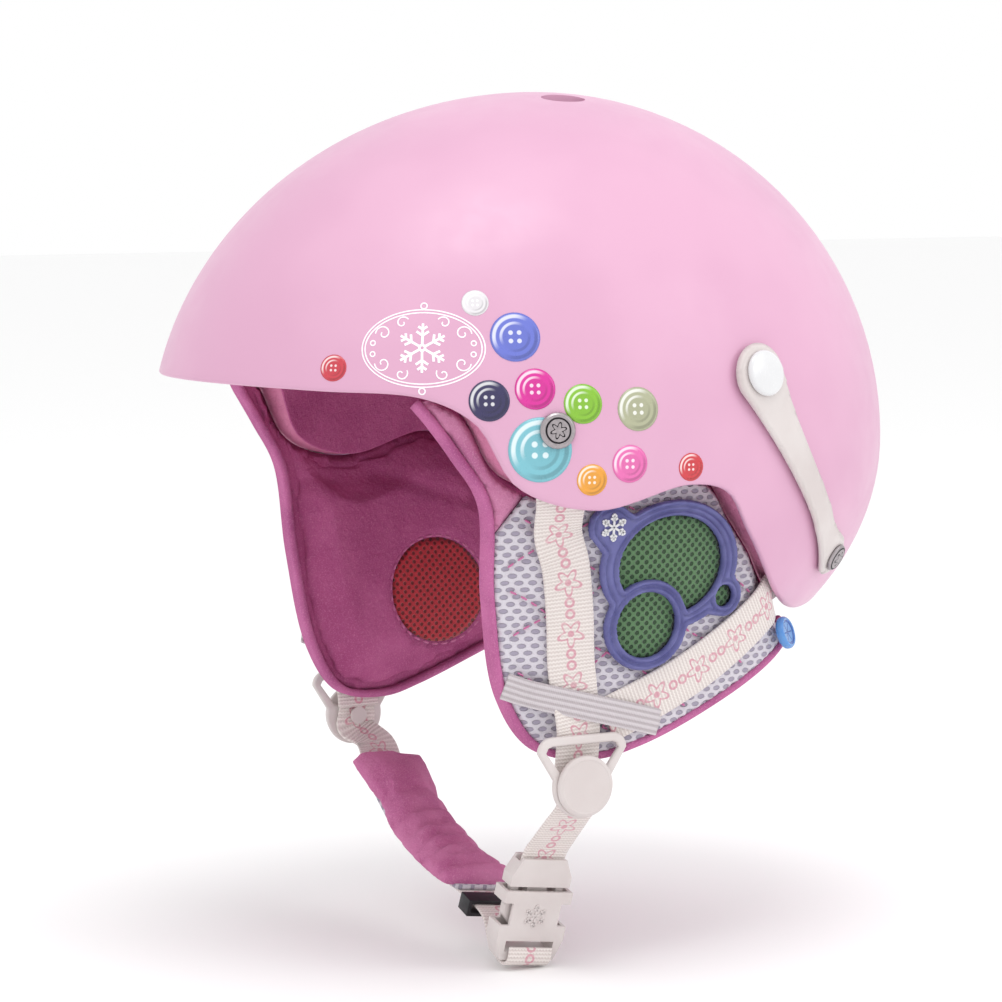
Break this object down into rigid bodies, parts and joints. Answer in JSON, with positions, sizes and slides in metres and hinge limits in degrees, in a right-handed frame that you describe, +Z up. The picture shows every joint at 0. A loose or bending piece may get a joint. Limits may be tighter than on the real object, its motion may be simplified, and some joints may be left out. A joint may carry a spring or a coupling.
{
  "type": "ski helmet",
  "caption": "Hard-shell youth ski helmet with foam liner, fleece ear pads, Y straps, padded chin strap with side-release buckle, and goggle strap arms.",
  "frame": {"origin": "middle of the head cavity, level with the widest part of the shell", "axes": "+Z up, -Y the front, +X the wearer's left"},
  "size_m": [0.2094, 0.2572, 0.2878],
  "materials": {
    "shell": "satin",
    "foam": "matte beaded foam",
    "fleece": "brushed fleece",
    "mesh_cloth": "spacer mesh",
    "pink_trim": "matte",
    "ear_mesh": "matte",
    "vent_mesh": "matte",
    "vent_frame": "satin",
    "elastic": "ribbed",
    "blue_gloss": "gloss",
    "webbing": "ribbed webbing",
    "steel": "dark plated",
    "ivory": "satin",
    "snap_white": "gloss",
    "black_rubber": "satin"
  },
  "bodies": {
    "helmet": {"outer_shell": "shell", "eps_liner": "foam", "ear_pad_core_left": "foam", "ear_pad_core_right": "foam", "brow_pad": "fleece", "rear_pad": "fleece", "crown_pad": "fleece", "temple_pad_left": "fleece", "temple_pad_right": "fleece", "ear_pad_lining_left": "fleece", "ear_pad_lining_right": "fleece", "ear_pad_cover_left": "mesh_cloth", "ear_pad_cover_right": "mesh_cloth", "ear_pad_binding_left": "pink_trim", "ear_pad_binding_right": "pink_trim", "ear_mesh_left": "ear_mesh", "ear_mesh_right": "ear_mesh", "vent_mesh_left": "vent_mesh", "vent_mesh_right": "vent_mesh", "vent_frame_left": "vent_frame", "vent_frame_right": "vent_frame", "elastic_band_left": "elastic", "elastic_band_right": "elastic", "pad_button_left": "blue_gloss", "pad_button_right": "blue_gloss", "front_strap_left": "webbing", "front_strap_right": "webbing", "rear_strap_left": "webbing", "rear_strap_right": "webbing", "front_rivet_left": "steel", "front_rivet_right": "steel", "rear_rivet_left": "steel", "rear_rivet_right": "steel", "front_washer_left": "steel", "front_washer_right": "steel", "rear_washer_left": "steel", "rear_washer_right": "steel", "snap_stud_left": "steel", "snap_stud_right": "steel", "arm_foot_left": "ivory", "arm_foot_right": "ivory", "yoke_ring_left": "ivory", "yoke_ring_right": "ivory", "yoke_cap_left": "ivory", "yoke_cap_right": "ivory"},
    "goggle_arm_left": {"goggle_arm_left": "ivory", "snap_cap_left": "snap_white"},
    "goggle_arm_right": {"goggle_arm_right": "ivory", "snap_cap_right": "snap_white"},
    "chin_strap": {"chin_strap_left": "webbing", "buckle_plug": "ivory", "chin_link_right": "webbing"},
    "chin_tail": {"chin_strap_right": "webbing", "chin_pad_fleece": "fleece", "chin_pad_cover": "mesh_cloth", "buckle_housing": "ivory", "strap_keeper": "black_rubber"},
    "prong_front": {"buckle_prong_front": "ivory"},
    "prong_rear": {"buckle_prong_rear": "ivory"}
  },
  "joints": [
    {"name": "goggle_arm_left_flex", "type": "hinge", "parent": "helmet", "child": "goggle_arm_left", "pos_m": [0.0845, 0.063, -0.0299], "axis": [-0.094, 0.74, 0.666], "range_deg": [0, 40], "stiffness_Nm_per_rad": 0.02, "springref_deg": -17.19},
    {"name": "goggle_arm_right_flex", "type": "hinge", "parent": "helmet", "child": "goggle_arm_right", "pos_m": [-0.0845, 0.063, -0.0299], "axis": [-0.094, -0.74, -0.666], "range_deg": [0, 40], "stiffness_Nm_per_rad": 0.02, "springref_deg": -17.19},
    {"name": "chin_swing", "type": "hinge", "parent": "helmet", "child": "chin_strap", "pos_m": [0, -0.029, -0.1045], "axis": [1, 0, 0], "range_deg": [-35, 40]},
    {"name": "chin_open", "type": "hinge", "parent": "chin_strap", "child": "chin_tail", "pos_m": [-0.07348, -0.02459, -0.11417], "axis": [0.0319, 0.9924, -0.1191], "range_deg": [0, 75]},
    {"name": "prong_front_press", "type": "hinge", "parent": "chin_strap", "child": "prong_front", "pos_m": [0.05671, -0.04017, -0.14027], "axis": [0.9764, -0.0564, -0.2084], "range_deg": [0, 8], "stiffness_Nm_per_rad": 0.05},
    {"name": "prong_rear_press", "type": "hinge", "parent": "chin_strap", "child": "prong_rear", "pos_m": [0.05723, -0.02389, -0.14223], "axis": [-0.9764, 0.0564, 0.2084], "range_deg": [0, 8], "stiffness_Nm_per_rad": 0.05}
  ]
}
